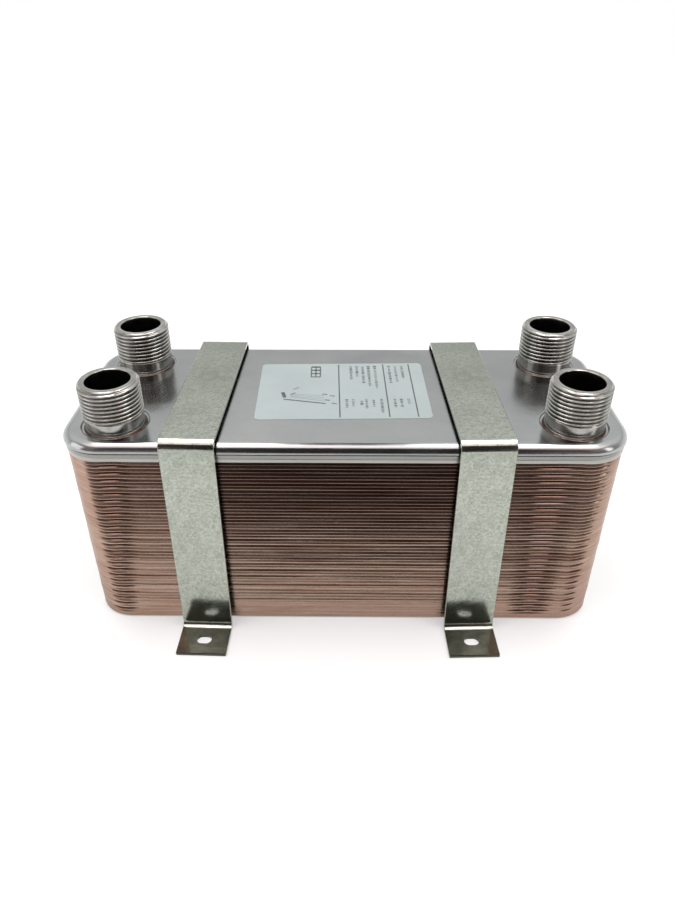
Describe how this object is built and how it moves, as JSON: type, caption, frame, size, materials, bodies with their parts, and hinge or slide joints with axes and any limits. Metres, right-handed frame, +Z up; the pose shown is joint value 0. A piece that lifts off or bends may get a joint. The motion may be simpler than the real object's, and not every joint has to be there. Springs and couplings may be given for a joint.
{
  "type": "plate heat exchanger",
  "caption": "Brazed plate heat exchanger: nested steel plates under a rounded cover, with threaded nipples at its corners, standing under loose bent-strip mounting brackets.",
  "frame": {"origin": "centre of the bounding box's base, on the plane that the bracket feet stand on", "axes": "+X along the exchanger's length, +Y across it from the front face to the back face, +Z up through the nipples"},
  "size_m": [0.31, 0.1838, 0.153],
  "materials": {
    "stainless": "satin stamped sheet",
    "copper_brazed_steel": "stainless sheet tinted by a copper braze film",
    "machined_stainless": "turned, with a cut outside thread",
    "zinc_plated_steel": "zinc coated strip with a faint spangle",
    "label": "satin sticker"
  },
  "bodies": {
    "exchanger": {"front_cover_plate": "stainless", "front_end_plate": "stainless", "channel_plate_01": "copper_brazed_steel", "channel_plate_02": "copper_brazed_steel", "channel_plate_03": "copper_brazed_steel", "channel_plate_04": "copper_brazed_steel", "channel_plate_05": "copper_brazed_steel", "channel_plate_06": "copper_brazed_steel", "channel_plate_07": "copper_brazed_steel", "channel_plate_08": "copper_brazed_steel", "channel_plate_09": "copper_brazed_steel", "channel_plate_10": "copper_brazed_steel", "channel_plate_11": "copper_brazed_steel", "channel_plate_12": "copper_brazed_steel", "channel_plate_13": "copper_brazed_steel", "channel_plate_14": "copper_brazed_steel", "channel_plate_15": "copper_brazed_steel", "channel_plate_16": "copper_brazed_steel", "channel_plate_17": "copper_brazed_steel", "channel_plate_18": "copper_brazed_steel", "channel_plate_19": "copper_brazed_steel", "channel_plate_20": "copper_brazed_steel", "channel_plate_21": "copper_brazed_steel", "channel_plate_22": "copper_brazed_steel", "channel_plate_23": "copper_brazed_steel", "channel_plate_24": "copper_brazed_steel", "channel_plate_25": "copper_brazed_steel", "channel_plate_26": "copper_brazed_steel", "channel_plate_27": "copper_brazed_steel", "channel_plate_28": "copper_brazed_steel", "channel_plate_29": "copper_brazed_steel", "channel_plate_30": "copper_brazed_steel", "channel_plate_31": "copper_brazed_steel", "channel_plate_32": "copper_brazed_steel", "channel_plate_33": "copper_brazed_steel", "channel_plate_34": "copper_brazed_steel", "channel_plate_35": "copper_brazed_steel", "channel_plate_36": "copper_brazed_steel", "channel_plate_37": "copper_brazed_steel", "channel_plate_38": "copper_brazed_steel", "channel_plate_39": "copper_brazed_steel", "channel_plate_40": "copper_brazed_steel", "channel_plate_41": "copper_brazed_steel", "channel_plate_42": "copper_brazed_steel", "channel_plate_43": "copper_brazed_steel", "channel_plate_44": "copper_brazed_steel", "channel_plate_45": "copper_brazed_steel", "channel_plate_46": "copper_brazed_steel", "channel_plate_47": "copper_brazed_steel", "channel_plate_48": "copper_brazed_steel", "channel_plate_49": "copper_brazed_steel", "back_cover_plate": "copper_brazed_steel", "nipple_front_left": "machined_stainless", "nipple_front_right": "machined_stainless", "nipple_back_left": "machined_stainless", "nipple_back_right": "machined_stainless", "label": "label"},
    "left_strap": {"left_bracket": "zinc_plated_steel"},
    "right_strap": {"right_bracket": "zinc_plated_steel"}
  },
  "joints": [
    {"name": "left_bracket_lift", "type": "slide", "parent": "exchanger", "child": "left_strap", "axis": [0, 0, 1], "range_m": [0, 0.14]},
    {"name": "right_bracket_lift", "type": "slide", "parent": "exchanger", "child": "right_strap", "axis": [0, 0, 1], "range_m": [0, 0.14]}
  ]
}
